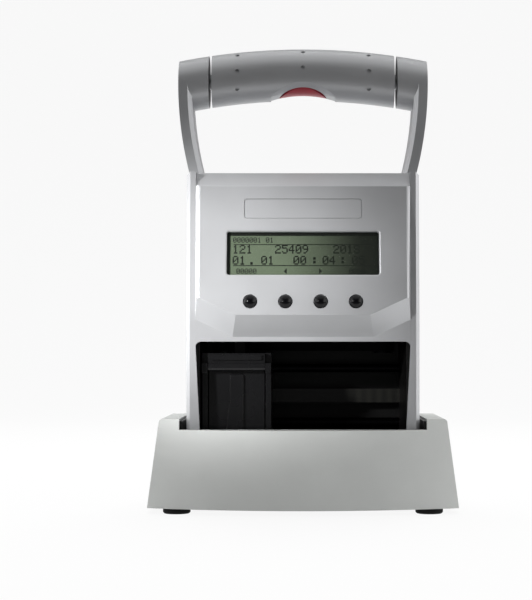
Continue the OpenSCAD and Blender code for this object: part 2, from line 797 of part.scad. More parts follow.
// Key: domed cap through the panel, with a flange behind it and a short stem
module key(i) {
    r = key_d / 2;
    dome_r = (r * r + key_proud * key_proud) / (2 * key_proud);
    dome_a = asin(r / dome_r);
    dome = [for (a = [0 : 0.125 : 1])
        [dome_r * sin(a * dome_a), key_proud - dome_r + dome_r * cos(a * dome_a)]];
    color([0.03, 0.03, 0.03]) on_panel(key_v, 0) translate([key_x[i], 0, 0]) rotate_extrude()
        polygon(concat(dome, [[r, -shell_t - 0.2], [key_flange_r, -shell_t - 0.2],
            [key_flange_r, -shell_t - 0.2 - key_flange_t], [1.5, -shell_t - 0.2 - key_flange_t],
            [1.5, -key_stem], [0, -key_stem]]));
}

// Rear cover and what it carries

battery_z0 = top_z - rear_bevel - 1.5 - battery_h;
battery_y0 = rear_y - battery_d;
port_x = -side_x / 2 + 4;
port_z = liner_z + 14;
port_w = 12;
port_h = 11;
port_d = 16;

module rear_cover() {
    miter = shell_t * 0.4;
    outer = [[split_y, top_z], [rear_y - rear_bevel, top_z], [rear_y, top_z - rear_bevel], [rear_y, sole_z1],
        [rear_y - shell_t, sole_z1], [rear_y - shell_t, top_z - rear_bevel - miter],
        [rear_y - rear_bevel - miter, top_z - shell_t], [split_y, top_z - shell_t]];
    color([0.74, 0.75, 0.76]) difference() {
        yz_prism(outer, -cover_x, cover_x);
        translate([0, 0, battery_z0 + battery_h / 2]) rotate([90, 0, 0]) translate([0, 0, -far])
            slab(battery_w + 2 * slide_gap, battery_h + 2 * slide_gap, far, 2.5);
        box([port_x - port_w / 2 - fit_gap, 0, port_z - port_h / 2 - fit_gap],
            [port_x + port_w / 2 + fit_gap, far, port_z + port_h / 2 + fit_gap]);
        for (i = [-1, 1], z = rear_screw_z) translate([i * boss_screw_x, 0, z]) {
            rod_y(head_r + fit_gap, rear_y - shell_t + 1, far);
            rod_y(screw_r + fit_gap, 0, far);
        }
    }
}

case_screw_l = 5.5;
module case_screws() {
    color([0.62, 0.62, 0.64]) for (i = [-1, 1], z = rear_screw_z)
        translate([i * boss_screw_x, rear_y - shell_t + 1, z]) rotate([90, 0, 0]) screw(case_screw_l);
}

module battery_pack() {
    pull_w = battery_w * 0.4;
    color([0.20, 0.20, 0.21]) difference() {
        translate([0, rear_y, battery_z0 + battery_h / 2]) rotate([90, 0, 0])
            slab(battery_w, battery_h, battery_d, 2.5);
        translate([0, rear_y + 6, battery_z0 + battery_h * 0.82]) rod_x(9, -pull_w / 2, pull_w / 2);
    }
}

contact_t = 2;
contact_w = 10;
contact_x = 15;
contact_foot = 8;
module battery_contacts() {
    y1 = battery_y0 - 0.3;
    color([0.83, 0.65, 0.30]) for (i = [-1, 1]) translate([i * contact_x, 0, 0])
        box([-contact_w / 2, y1 - contact_t, battery_z0 + contact_foot],
            [contact_w / 2, y1, top_z - shell_t]);
}

module data_port() {
    tongue = 3;
    y0 = rear_y - port_d;
    color([0.60, 0.61, 0.62]) difference() {
        union() {
            box([port_x - port_w / 2, y0, port_z - port_h / 2],
                [port_x + port_w / 2, rear_y - 0.4, port_z + port_h / 2]);
            box([port_x - port_w / 2 - 2, y0, liner_z], [port_x + port_w / 2 + 2, y0 + 6, port_z]);
        }
        difference() {
            box([port_x - port_w / 2 + 1, y0 + 7, port_z - port_h / 2 + 1],
                [port_x + port_w / 2 - 1, rear_y + cut, port_z + port_h / 2 - 1]);
            box([port_x - tongue, y0, port_z - 1.6], [port_x + tongue, rear_y - 2, port_z + 1.6]);
        }
    }
}

// Print sole

slot_x = carriage_reach + 10;
slot_y0 = nozzle_y - 10;
slot_y1 = nozzle_y + 10;
contact_r = 2.6;

module print_sole() {
    b = side_bevel;
    corners = [[side_x - b, front_y], [side_x, front_y + b], [side_x, rear_y - b], [side_x - b, rear_y]];
    outline = concat(corners, [for (i = [3 : -1 : 0]) [-corners[i].x, corners[i].y]]);
    color([0.13, 0.13, 0.14]) difference() {
        translate([0, 0, sole_z0]) linear_extrude(sole_t) polygon(outline);
        box([-slot_x, slot_y0, sole_z0 - cut], [slot_x, slot_y1, sole_z1 + cut]);
        for (x = pin_x) translate([x, pin_y, sole_z0 - cut]) cylinder(r = contact_r + 0.02, h = 2 + cut);
        for (i = [-1, 1], y = side_screw_y) translate([i * (side_x - side_t / 2), y, sole_z0]) {
            translate([0, 0, -cut]) cylinder(r = sole_head_r + fit_gap, h = sole_head_h + 0.2 + cut);
            cylinder(r = sole_screw_r + run_gap, h = sole_t + cut);
        }
    }
}

sole_head_r = 2;
sole_head_h = 1.4;
module sole_screws() {
    color([0.62, 0.62, 0.64]) for (i = [-1, 1], y = side_screw_y)
        translate([i * (side_x - side_t / 2), y, sole_z0 + 0.2]) {
            cylinder(r = sole_head_r, h = sole_head_h);
            cylinder(r = sole_screw_r, h = sole_t + sole_screw_l);
        }
}

pad_l = 22;
pad_w = 6;
module sole_pads() {
    x = side_x - pad_l / 2 - 8;
    rim = pad_w / 2 + 2;
    color([0.06, 0.06, 0.06]) for (i = [-1, 1], y = [front_y + rim, rear_y - rim])
        translate([i * x, y, seat_z]) slab(pad_l, pad_w, pad_t, 2);
}

module charge_contacts() {
    color([0.83, 0.65, 0.30]) for (x = pin_x) translate([x, pin_y, seat_z + 0.4])
        cylinder(r = contact_r, h = sole_z0 + 2 - seat_z - 0.4);
}

// Print chamber and its drive

module chamber_liner() {
    color([0.04, 0.04, 0.04]) difference() {
        box([-liner_x, liner_y0, sole_z1], [liner_x, liner_y1, liner_z]);
        box([-liner_x + liner_t, -far, 0], [liner_x - liner_t, liner_y1 - liner_t, liner_z - liner_t]);
        translate([0, rod_y0, rod_z]) rod_x(rod_d / 2 + 0.02, -far, far);
        translate([0, rod_y0, upper_rod_z]) rod_x(upper_rod_d / 2 + 0.02, -far, far);
        translate([pulley_x, pulley_y, 0]) cylinder(r = shaft_r + 1, h = far);
        translate([-pulley_x, pulley_y, 0]) cylinder(r = idler_r + 0.02, h = far);
    }
}

module main_guide_rod() {
    color([0.78, 0.79, 0.80]) translate([0, rod_y0, rod_z]) rod_x(rod_d / 2, -liner_x, liner_x);
}

module upper_guide_rod() {
    color([0.78, 0.79, 0.80]) translate([0, rod_y0, upper_rod_z]) rod_x(upper_rod_d / 2, -liner_x, liner_x);
}

strip_t = 0.5;
strip_h = 8;
strip_y = carriage_y1 + 2.6;
strip_z = (rod_z + upper_rod_z) / 2;
module encoder_strip() {
    color([0.35, 0.34, 0.30]) box([-liner_x + liner_t, strip_y - strip_t / 2, strip_z - strip_h / 2],
        [liner_x - liner_t, strip_y + strip_t / 2, strip_z + strip_h / 2]);
}

sensor_w = 12;
module encoder_sensor() {
    jaw = 1;
    color([0.05, 0.05, 0.06]) difference() {
        box([parked_x - sensor_w / 2, carriage_y1, strip_z - strip_h / 2 - 3.5],
            [parked_x + sensor_w / 2, strip_y + strip_t / 2 + jaw + 1.6, strip_z + 2]);
        box([-far, strip_y - strip_t / 2 - jaw, strip_z - strip_h / 2 - jaw],
            [far, strip_y + strip_t / 2 + jaw, far]);
    }
}

bush_r = rod_d / 2 + 1.6;
bush_l = 9;
carriage_boss_r = bush_r + 2;
fork_w = 16;
module carriage() {
    x0 = carriage_x0;
    x1 = carriage_x1;
    fork = upper_rod_d / 2 + 0.3;
    color([0.06, 0.06, 0.06]) difference() {
        union() {
            box([x0, carriage_y0, carriage_z0], [x1, carriage_y1, carriage_z1]);
            translate([0, rod_y0, rod_z]) rod_x(carriage_boss_r, x0, x1);
            box([x0, carriage_y1 - 1, rod_z - carriage_boss_r], [x1, rod_y0, rod_z + carriage_boss_r]);
            box([parked_x - fork_w / 2, carriage_y1 - 1, upper_rod_z - fork - 2.5],
                [parked_x + fork_w / 2, rod_y0 + 3, upper_rod_z + fork + 2.5]);
            for (x = [x0, x1 - carriage_t]) box([x, latch_y - latch_ear, latch_z - latch_ear],
                [x + carriage_t, carriage_y0 + 1, latch_z + latch_ear]);
        }
        box([x0 + carriage_t, -far, carriage_z0 + 2], [x1 - carriage_t, carriage_y1 - 4, far]);
        box([parked_x - snout_w / 2 - 1, nozzle_y - snout_d / 2 - 1, 0],
            [parked_x + snout_w / 2 + 1, nozzle_y + snout_d / 2 + 1, carriage_z1]);
        translate([0, rod_y0, rod_z]) rod_x(rod_d / 2 + 0.5, -far, far);
        for (x = [x0 - cut, x1 - bush_l]) translate([0, rod_y0, rod_z])
            rod_x(bush_r + 0.02, x, x + bush_l + cut);
        box([-far, rod_y0 - fork, upper_rod_z - fork], [far, far, upper_rod_z + fork]);
        translate([0, latch_y, latch_z]) rod_x(latch_pin_r + 0.02, -far, far);
    }
}

module carriage_bushes() {
    color([0.66, 0.50, 0.28]) for (x = [carriage_x0, carriage_x1 - bush_l])
        translate([0, rod_y0, rod_z]) difference() {
            rod_x(bush_r, x, x + bush_l);
            rod_x(rod_d / 2 + run_gap, -far, far);
        }
}

module belt_clamp() {
    y = pulley_y - belt_r - belt_t / 2;
    jaw = belt_t / 2 + 0.3;
    color([0.10, 0.10, 0.11]) difference() {
        box([parked_x - clamp_half, carriage_y1 - 4, carriage_z1],
            [parked_x + clamp_half, y + jaw + 1.4, belt_z0 + belt_w + 1]);
        box([-far, y - jaw, belt_z0 - 0.4], [far, y + jaw, far]);
    }
}

snout_w = 14;
snout_d = 17;
nozzle_z = seat_z + nozzle_gap;
cartridge_w = carriage_w - 2 * carriage_t - 1;
nozzle_t = 0.5;
cartridge_z0 = carriage_z0 + 2;
cartridge_z1 = carriage_z1 - 5;
module ink_cartridge() {
    rib_w = 7;
    rib_d = 2;
    rib_z1 = latch_z - latch_ear - 1;
    rib_bend = 20;
    y0 = carriage_y0 + 1;
    y1 = carriage_y1 - 4 - fit_gap;
    color([0.09, 0.09, 0.10]) translate([parked_x, 0, 0]) union() {
        box([-cartridge_w / 2, y0, cartridge_z0], [cartridge_w / 2, y1, cartridge_z1 - 3]);
        box([-cartridge_w / 2 + 2, y0 + 3, cartridge_z1 - 4], [cartridge_w / 2 - 2, y1 - 2, cartridge_z1]);
        translate([0, nozzle_y, nozzle_z + nozzle_t])
            linear_extrude(cartridge_z0 + 1 - nozzle_z - nozzle_t) square([snout_w, snout_d], center = true);
        xz_prism([[-rib_w / 2 - 3, cartridge_z0], [rib_w / 2, cartridge_z0], [rib_w / 2, rib_z1],
            [-rib_w / 2, rib_z1], [-rib_w / 2, cartridge_z1 - rib_bend]], y0 - rib_d, y0 + 1);
    }
}

module nozzle_plate() {
    color([0.80, 0.64, 0.34]) translate([parked_x, nozzle_y, nozzle_z])
        linear_extrude(nozzle_t) square([snout_w - 4, snout_d - 2], center = true);
}

latch_pin_r = 1;
latch_ear = 2.6;
latch_t = 3.6;
latch_y = carriage_y0 - latch_ear;
latch_z = carriage_z1 - 8.2;
module cartridge_latch() {
    x0 = carriage_x0 + carriage_t + 0.3;
    x1 = carriage_x1 - carriage_t - 0.3;
    z0 = latch_z - latch_t / 2;
    groove = 0.6;
    color([0.09, 0.09, 0.10]) difference() {
        union() {
            translate([0, latch_y, latch_z]) rod_x(latch_t / 2, x0, x1);
            box([x0, latch_y - latch_t / 2, latch_z], [x1, latch_y + latch_t / 2, z0 + latch_h]);
            box([x0 + 2, latch_y - latch_t / 2 - 1.6, z0 + latch_h - 3.6],
                [x1 - 2, latch_y, z0 + latch_h - 0.8]);
        }
        translate([0, latch_y, latch_z]) rod_x(latch_pin_r + run_gap, -far, far);
        box([x0 - cut, latch_y - latch_t / 2 - cut, latch_z + 2.2],
            [x1 + cut, latch_y - latch_t / 2 + groove, latch_z + 2.8]);
    }
}

module latch_pin() {
    color([0.78, 0.79, 0.80]) translate([0, latch_y, latch_z]) rod_x(latch_pin_r, carriage_x0, carriage_x1);
}

module drive_belt() {
    color([0.07, 0.07, 0.07]) translate([0, pulley_y, belt_z0]) difference() {
        union() {
            for (i = [-1, 1]) translate([i * pulley_x, 0, 0]) cylinder(r = belt_r + belt_t, h = belt_w);
            translate([-pulley_x, -belt_r - belt_t, 0]) cube([pulley_span, 2 * (belt_r + belt_t), belt_w]);
        }
        for (i = [-1, 1]) translate([i * pulley_x, 0, -cut]) cylinder(r = belt_r, h = far);
        translate([-pulley_x, -belt_r, -cut]) cube([pulley_span, 2 * belt_r, far]);
    }
}

// Flanged belt pulley; a bore of 0 leaves its hub closed
module pulley(bore_r) {
    difference() {
        union() {
            cylinder(r = pulley_r, h = pulley_h);
            for (z = [0, pulley_h - flange_h]) translate([0, 0, z]) cylinder(r = pulley_rim, h = flange_h);
        }
        if (bore_r > 0) translate([0, 0, -cut]) cylinder(r = bore_r, h = far);
        for (a = [60, 180, 300]) rotate([0, 0, a]) translate([pulley_r * 0.6, 0, -cut])
            cylinder(r = pulley_r * 0.18, h = far);
    }
}

module motor_pulley() {
    color([0.72, 0.60, 0.32]) translate([pulley_x, pulley_y, pulley_z0]) union() {
        pulley(0);
        cylinder(r = shaft_r, h = liner_z + bracket_t + 4 - pulley_z0);
    }
}

module idler_pulley() {
    color([0.85, 0.85, 0.83]) translate([-pulley_x, pulley_y, pulley_z0]) pulley(idler_r + run_gap);
}

module idler_axle() {
    color([0.78, 0.79, 0.80]) translate([-pulley_x, pulley_y, 0]) {
        translate([0, 0, pulley_z0 - 0.2]) cylinder(r = idler_r, h = liner_z - pulley_z0 + 0.2);
        translate([0, 0, pulley_z0 - 1.2]) cylinder(r = idler_r + 1.2, h = 1);
        translate([0, 0, liner_z]) cylinder(r = 3.2, h = 1.6, $fn = 6);
    }
}

bracket_t = 2;
module motor_bracket() {
    w = motor_d + 2;
    color([0.62, 0.63, 0.64]) difference() {
        box([pulley_x - w / 2 - 6, pulley_y - w / 2, liner_z],
            [pulley_x + w / 2 - 1, pulley_y + w / 2, liner_z + bracket_t]);
        translate([pulley_x, pulley_y, 0]) cylinder(r = shaft_r + 2, h = far);
    }
}

module drive_motor() {
    r = motor_d / 2;
    z0 = liner_z + bracket_t;
    color([0.55, 0.56, 0.58]) translate([pulley_x, pulley_y, z0]) difference() {
        union() {
            cylinder(r = r, h = motor_h - 2);
            cylinder(r = r * 0.55, h = motor_h);
        }
        translate([0, 0, -cut]) cylinder(r = shaft_r + 0.5, h = 6);
    }
}

// Handle

// Angles of the dimples above level; the lowest is left out over the trigger
dimple_rows = [54, 8, -32];
rib_x = grip_x - 8;

// Edge of an arched mouth in the underside of a round bar of radius r, front then rear
function mouth_edge(r, half_w, h) = let (
    steps = 20,
    big = (half_w * half_w + h * h) / (2 * h),
    end = asin(half_w / big),
    front = [for (i = [0 : steps]) let (
        a = end * (2 * i / steps - 1),
        drop = min(r - h + big * (1 - cos(a)), r))
        [big * sin(a), handle_y - sqrt(r * r - drop * drop), axis_z - drop]],
    rear = [for (i = [steps - 1 : -1 : 1]) [front[i].x, 2 * handle_y - front[i].y, front[i].z]])
    concat(front, rear);

// Cutter of the scoop over the trigger: a bevel in from the grip's outside, then straight to its axis
scoop_depth = 1.2;
mouth_gap = 0.3;
module scoop() {
    past = 0.4;
    half = trigger_w / 2 + mouth_gap;
    ramp = scoop_w / 2 - half;
    rise = scoop_bevel + scoop_depth;
    outer = mouth_edge(grip_r + past * scoop_depth, scoop_w / 2 + past * ramp, scoop_h + past * rise);
    inner = mouth_edge(grip_r - scoop_depth, half, scoop_h - rise);
    n = len(outer);
    points = concat(outer, inner, [[0, handle_y, axis_z - far / 6], [0, handle_y, axis_z]]);
    faces = [for (i = [0 : n - 1], part = [0 : 3]) let (a = i, b = (i + 1) % n)
        [[2 * n, a, b], [a, b + n, b], [a, a + n, b + n], [2 * n + 1, b + n, a + n]][part]];
    polyhedron(points, faces);
}

// Plan of the trigger pad, pointed at both ends, grown by a gap
module trigger_plan(gap = 0) {
    half_w = trigger_w / 2;
    half_d = trigger_d / 2;
    r = (half_w * half_w + half_d * half_d) / (2 * half_d);
    translate([0, handle_y]) intersection() {
        translate([0, r - half_d]) circle(r + gap, $fn = 120);
        translate([0, half_d - r]) circle(r + gap, $fn = 120);
    }
}

// Half of the grip tube: side is -1 for the front half and 1 for the rear half
module grip_half(side) {
    seam = 0.05;
    difference() {
        intersection() {
            union() {
                difference() {
                    arch(grip_r);
                    arch(grip_r - grip_t);
                }
                difference() {
                    intersection() {
                        arch(grip_r - grip_t / 2);
                        for (i = [-1, 1]) box([i * rib_x - 1, -far, 0], [i * rib_x + 1, far, far]);
                    }
                    arch(core_d / 2 + run_gap);
                }
                intersection() {
                    arch(grip_r - grip_t / 2);
                    box([switch_x + 2, handle_y + switch_w / 2, switch_z],
                        [switch_x + switch_l - 2, far, switch_z + switch_h - 1]);
                }
            }
            box([-grip_x, min(side * far, handle_y + side * seam), 0],
                [grip_x, max(side * far, handle_y + side * seam), far]);
        }
        scoop();
        linear_extrude(axis_z - grip_r * 0.45) trigger_plan(slide_gap);
        for (i = [-1 : 1], a = dimple_rows) if (i != 0 || a > 0) {
            x = i * dimple_pitch;
            z = axis_z - arch_r + sqrt(arch_r * arch_r - x * x);
            translate([x, handle_y, z]) rotate([90 - side * -a, 0, 0]) mirror([0, 0, side > 0 ? 1 : 0])
                translate([0, 0, grip_r - dimple_depth]) cylinder(r = dimple_d / 2, h = 3);
        }
    }
}

module grip_front_shell() {
    color([0.50, 0.51, 0.52]) grip_half(-1);
}

module grip_rear_shell() {
    color([0.50, 0.51, 0.52]) grip_half(1);
}

module handle_core() {
    color([0.66, 0.67, 0.68]) difference() {
        intersection() {
            arch(core_d / 2);
            box([-core_end, -far, 0], [core_end, far, far]);
        }
        for (i = [-1, 1]) translate([i * handle_x, handle_y, end_z]) rod_x(screw_r + run_gap, -10, 10);
    }
}

handle_screw_l = 7;
module handle_screws() {
    color([0.62, 0.62, 0.64]) for (i = [-1, 1])
        translate([i * (handle_x - end_sink), handle_y, end_z]) rotate([0, -90 * i, 0])
            screw(handle_screw_l);
}

trigger_z0 = axis_z - grip_r + trigger_inset;
trigger_z1 = axis_z - core_d / 2 - trigger_travel - 1.6;
wing_t = 2.7;
wing_out = 3;
wing_seat = 0.35;
// Round bar along X, drawn in by an arc at its middle
module waisted_bar(r, half_l, depth) {
    arc_r = (half_l * half_l + depth * depth) / (2 * depth);
    rotate([0, 90, 0]) rotate_extrude() difference() {
        translate([0, -half_l]) square([r, 2 * half_l]);
        translate([r - depth + arc_r, 0]) circle(arc_r);
    }
}

module trigger() {
    half = trigger_w / 2;
    pad_r = grip_r - trigger_inset;
    seat_r = grip_r - grip_t - wing_seat;
    wing_drop = axis_z - trigger_z1 + wing_t;
    wing_half = sqrt(max(seat_r * seat_r - wing_drop * wing_drop, 1));
    color([0.80, 0.16, 0.20]) {
        intersection() {
            translate([0, 0, trigger_z0]) linear_extrude(trigger_z1 - trigger_z0) trigger_plan();
            translate([0, handle_y, axis_z]) waisted_bar(pad_r, half + cut, hollow_depth);
        }
        box([-half - wing_out, handle_y - wing_half, trigger_z1 - wing_t],
            [half + wing_out, handle_y + wing_half, trigger_z1]);
    }
}

switch_l = 12;
switch_w = 6.5;
switch_h = 5;
switch_x = trigger_w / 2 + wing_out + 1;
switch_z = trigger_z1 - 3;
module trigger_switch() {
    color([0.10, 0.10, 0.11]) box([switch_x, handle_y - switch_w / 2, switch_z],
        [switch_x + switch_l, handle_y + switch_w / 2, switch_z + switch_h]);
}

lever_t = 0.4;
module switch_lever() {
    color([0.78, 0.79, 0.80]) {
        z = trigger_z1 + trigger_travel + 0.3;
        box([switch_x - 8, handle_y - 1.6, z], [switch_x + 3, handle_y + 1.6, z + lever_t]);
        box([switch_x + 2, handle_y - 1.6, switch_z + switch_h], [switch_x + 3, handle_y + 1.6, z + 0.01]);
    }
}

dock_shell();
dock_base_plate();
dock_feet();
dock_screws();
dock_contact_block();
dock_contact_pins();
dock_well_lining();
nozzle_cap();
dock_power_jack();
left_side_frame();
right_side_frame();
front_cover();
rear_cover();
print_sole();
sole_pads();
sole_screws();
case_screws();
chamber_liner();
name_plate();
display_window();
display_glass();
display_frame();
main_board();
board_screws();
key_switches();
key(0);  // key_1
key(1);  // key_2
key(2);  // key_3
key(3);  // key_4
grip_front_shell();
grip_rear_shell();
handle_core();
handle_screws();
trigger();
trigger_switch();
switch_lever();
carriage();
carriage_bushes();
belt_clamp();
encoder_sensor();
ink_cartridge();
nozzle_plate();
cartridge_latch();
latch_pin();
main_guide_rod();
upper_guide_rod();
encoder_strip();
drive_belt();
drive_motor();
motor_bracket();
motor_pulley();
idler_pulley();
idler_axle();
battery_pack();
battery_contacts();
data_port();
charge_contacts();
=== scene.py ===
"""Dresses the handheld inkjet printer and its charging dock, and sets them on a pale studio floor."""

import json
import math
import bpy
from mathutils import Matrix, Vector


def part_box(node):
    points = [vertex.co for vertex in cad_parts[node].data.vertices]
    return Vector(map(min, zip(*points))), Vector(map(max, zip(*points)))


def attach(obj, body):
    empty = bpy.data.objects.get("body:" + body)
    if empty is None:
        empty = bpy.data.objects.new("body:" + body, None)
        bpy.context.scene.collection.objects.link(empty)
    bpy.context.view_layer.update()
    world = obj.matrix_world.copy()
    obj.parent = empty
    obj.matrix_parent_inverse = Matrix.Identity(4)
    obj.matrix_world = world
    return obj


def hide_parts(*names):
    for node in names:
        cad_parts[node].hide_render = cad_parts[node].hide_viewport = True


bl_info = {
    "name": "Handheld Inkjet Printer",
    "version": (1, 0, 0),
    "blender": (4, 5, 0),
    "location": "View3D > Sidebar > Printer",
    "description": "Dresses a handheld inkjet printer that stands in its charging dock",
    "category": "Object",
}

import bmesh
import bpy
from bpy.props import FloatProperty, FloatVectorProperty, PointerProperty
from bpy.types import NodeSocket, Operator, Panel, PropertyGroup
from mathutils import Vector

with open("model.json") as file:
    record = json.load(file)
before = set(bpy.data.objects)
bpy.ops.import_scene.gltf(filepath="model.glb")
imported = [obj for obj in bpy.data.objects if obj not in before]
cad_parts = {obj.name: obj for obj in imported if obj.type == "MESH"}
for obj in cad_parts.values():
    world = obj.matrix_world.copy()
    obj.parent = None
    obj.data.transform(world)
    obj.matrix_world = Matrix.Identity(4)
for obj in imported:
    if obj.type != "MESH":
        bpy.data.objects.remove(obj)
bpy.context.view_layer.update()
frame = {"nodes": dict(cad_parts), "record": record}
RECORD = frame["record"]
NODES = frame["nodes"]
MM = 0.001
BODY_OF = {node: body for body, nodes in RECORD["behaviour"]["bodies"].items() for node in nodes}
JOINTS = {joint["name"]: joint for joint in RECORD["behaviour"]["joints"]}

# Directions on the leaning display panel, from the way its keys are pressed
INWARD = Vector(JOINTS["key_1_press"]["axis"]).normalized()
ACROSS = Vector((1, 0, 0))
UPWARD = (-INWARD).cross(ACROSS)
PANEL_TILT = math.atan2(UPWARD.y, UPWARD.z)

# Corners closer than this are joined
WELD = 0.002 * MM
# Turns between faces: most in one flat face, most in one curved face, and least at an edge that is rounded
FLAT = math.radians(0.4)
CURVED = math.radians(12.5)
ROUNDED = math.radians(28)

# How far the roughness of a surface varies to both sides, and the height of its grain as a share of its size
GLOSS_SPREAD = 0.04
GRAIN_HEIGHT = 0.3


def to_linear(text):
    """Linear colour of an sRGB hex value such as #A0A0A0."""
    steps = [int(text[i:i + 2], 16) / 255 for i in (1, 3, 5)]
    return [c / 12.92 if c <= 0.04045 else ((c + 0.055) / 1.055) ** 2.4 for c in steps]


def rgba(colour):
    """Colour for a node socket."""
    return (*colour, 1.0)


def colour_property(name, description, text):
    """Colour that a user may change."""
    return FloatVectorProperty(
        name=name, description=description, subtype="COLOR", size=3, min=0, max=1, default=to_linear(text)
    )


def length_property(name, description, millimetres):
    """Length that a user may change."""
    return FloatProperty(
        name=name, description=description, subtype="DISTANCE", default=millimetres * MM, min=0
    )


class PrinterSizes(PropertyGroup):
    """Small sizes that the finish adds to the solids."""

    case_edge: length_property("Case edge", "Rounding along the edges of the silver case", 0.45)
    dock_edge: length_property("Dock edge", "Rounding along the edges of the dock", 0.6)
    grip_edge: length_property("Grip edge", "Rounding along the edges of the grip shells", 0.35)
    plate_edge: length_property("Plate edge", "Rounding along the edges of the name plate", 0.15)
    trigger_edge: length_property("Trigger edge", "Rounding along the edges of the trigger", 0.3)
    key_edge: length_property("Key edge", "Rounding along the edges of the keys", 0.1)
    inner_edge: length_property("Inner edge", "Rounding along the edges of the black inner pieces", 0.3)
    display_edge: length_property("Display edge", "Bevel round the display and along the panel's sides", 0.9)
    large_column: length_property("Large column", "Width of a large character with its space", 3.72)
    large_height: length_property("Large height", "Height of a large character", 4.9)
    small_column: length_property("Small column", "Width of a small character with its space", 2.23)
    small_height: length_property("Small height", "Height of a small character", 2.9)
    text_margin: length_property("Text margin", "Space between the display's edge and its text", 3.85)
    rule_height: length_property("Rule height", "Height of the two lines across the display", 0.45)


class PrinterColours(PropertyGroup):
    """Colours of the finishes."""

    silver: colour_property("Silver paint", "Satin silver paint of the case", "#B8B9BB")
    dock: colour_property("Dock grey", "Moulded light grey of the dock", "#B8BAB8")
    black: colour_property("Black", "Moulded black of the chamber and the inner pieces", "#070707")
    red: colour_property("Trigger red", "Moulded red of the trigger", "#B02C3A")
    lcd: colour_property("Display green", "Grey-green of the display", "#56614F")
    # Painted shade: the dark colour that the display's film turns to towards its right end
    lcd_painted_shade: colour_property("Display shade", "Dark side of the display", "#161914")
    ink: colour_property("Display ink", "Colour of a switched display dot", "#070A07")


def sizes():
    """Sizes that the scene holds."""
    return bpy.context.scene.printer_sizes


def colours():
    """Colours that the scene holds."""
    return bpy.context.scene.printer_colours


def add(tree, kind, settings=None, inputs=None):
    """Adds a node with its settings; an input takes a value or the socket that feeds it."""
    made = tree.nodes.new(kind)
    for key, value in (settings or {}).items():
        setattr(made, key, value)
    for key, value in (inputs or {}).items():
        if isinstance(value, NodeSocket):
            tree.links.new(value, made.inputs[key])
        else:
            made.inputs[key].default_value = value
    return made


def calc(tree, operation, first, second):
    """Result of an operation on two values."""
    return add(tree, "ShaderNodeMath", {"operation": operation}, {0: first, 1: second}).outputs[0]


def ramp(tree, value, start, end, low=0.0, high=1.0, kind="SMOOTHSTEP"):
    """Value that goes from low at start to high at end."""
    made = add(
        tree, "ShaderNodeMapRange", {"interpolation_type": kind},
        {"Value": value, "From Min": start, "From Max": end, "To Min": low, "To Max": high},
    )
    return made.outputs["Result"]


def blend(tree, share, first, second):
    """Colour between two others; a colour mix has them on sockets 6 and 7 and gives its result on 2."""
    made = add(
        tree, "ShaderNodeMix", {"data_type": "RGBA"}, {"Factor": share, 6: rgba(first), 7: rgba(second)}
    )
    return made.outputs[2]


def per_metre(millimetres):
    """Scale of a texture whose features are about this size."""
    return 1 / (millimetres * MM)


def noise(tree, place, millimetres, detail):
    """Noise whose features are about this size."""
    scale = per_metre(millimetres)
    made = add(tree, "ShaderNodeTexNoise", inputs={"Vector": place, "Scale": scale, "Detail": detail})
    return made.outputs["Fac"]


def seen_directly(tree, path):
    """1 for a ray that comes from the camera, also through glass, and else 0."""
    return calc(tree, "MAXIMUM", path.outputs["Is Camera Ray"], path.outputs["Is Transmission Ray"])


def new_material(name):
    """Empty node material with its output node and Object coordinates."""
    material = bpy.data.materials.new(name)
    material.use_nodes = True
    tree = material.node_tree
    tree.nodes.clear()
    output = add(tree, "ShaderNodeOutputMaterial")
    place = add(tree, "ShaderNodeTexCoord").outputs["Object"]
    return material, tree, output, place


def close_surface(tree, output, inputs):
    """Ends a material with a surface that takes these inputs."""
    shader = add(tree, "ShaderNodeBsdfPrincipled", inputs=inputs)
    tree.links.new(shader.outputs["BSDF"], output.inputs["Surface"])


def grained(name, colour, roughness, grain_mm, bump, metallic=0.0, ior=1.5, cloud_mm=22, vary=0.05):
    """Moulded or painted surface: fine grain in the bump, a soft cloud in the colour and the gloss."""
    material, tree, output, place = new_material(name)
    grain = noise(tree, place, grain_mm, detail=3.0)
    cloud = noise(tree, place, cloud_mm, detail=2.0)
    dark = [c * (1 - vary) for c in colour]
    light = [min(1, c * (1 + vary)) for c in colour]
    height = add(
        tree, "ShaderNodeBump",
        inputs={"Height": grain, "Strength": bump, "Distance": grain_mm * MM * GRAIN_HEIGHT},
    )
    close_surface(tree, output, {
        "Base Color": blend(tree, cloud, dark, light),
        "Roughness": ramp(tree, cloud, 0, 1, roughness - GLOSS_SPREAD, roughness + GLOSS_SPREAD, "LINEAR"),
        "Normal": height.outputs["Normal"],
        "Metallic": metallic,
        "IOR": ior,
    })
    return material


def silver_painted_abs():
    # Metallic paint sprayed on moulded ABS: pale satin grey that mirrors its surroundings softly.
    # The flake is drawn about four times its real size so that it shows.
    return grained(
        "silver_painted_abs", colours().silver, roughness=0.42, grain_mm=0.35, bump=0.1, metallic=0.72
    )


def light_grey_abs():
    # Unpainted moulded ABS with a fine spark-eroded texture: a little cooler and flatter than the paint.
    return grained("light_grey_abs", colours().dock, roughness=0.52, grain_mm=0.5, bump=0.2, metallic=0.15)


def black_abs():
    # Moulded ABS, matt: the chamber drinks most of the light and keeps a faint sheen.
    return grained("black_abs", colours().black, roughness=0.36, grain_mm=0.5, bump=0.1, ior=1.4)


def satin_black_pom():
    # Moulded acetal of the sliding pieces: black with a waxy satin sheen.
    return grained("satin_black_pom", to_linear("#09090A"), roughness=0.27, grain_mm=0.4, bump=0.05)


def gloss_black_pc():
    # Polished polycarbonate of the keys: deep black and glossy.
    return grained("gloss_black_pc", to_linear("#030304"), roughness=0.14, grain_mm=0.4, bump=0.02, ior=1.36)


def red_abs():
    # Moulded red ABS with a satin face, a little lighter where the finger has rubbed it.
    return grained("red_abs", colours().red, roughness=0.38, grain_mm=0.4, bump=0.1, cloud_mm=9, vary=0.1)


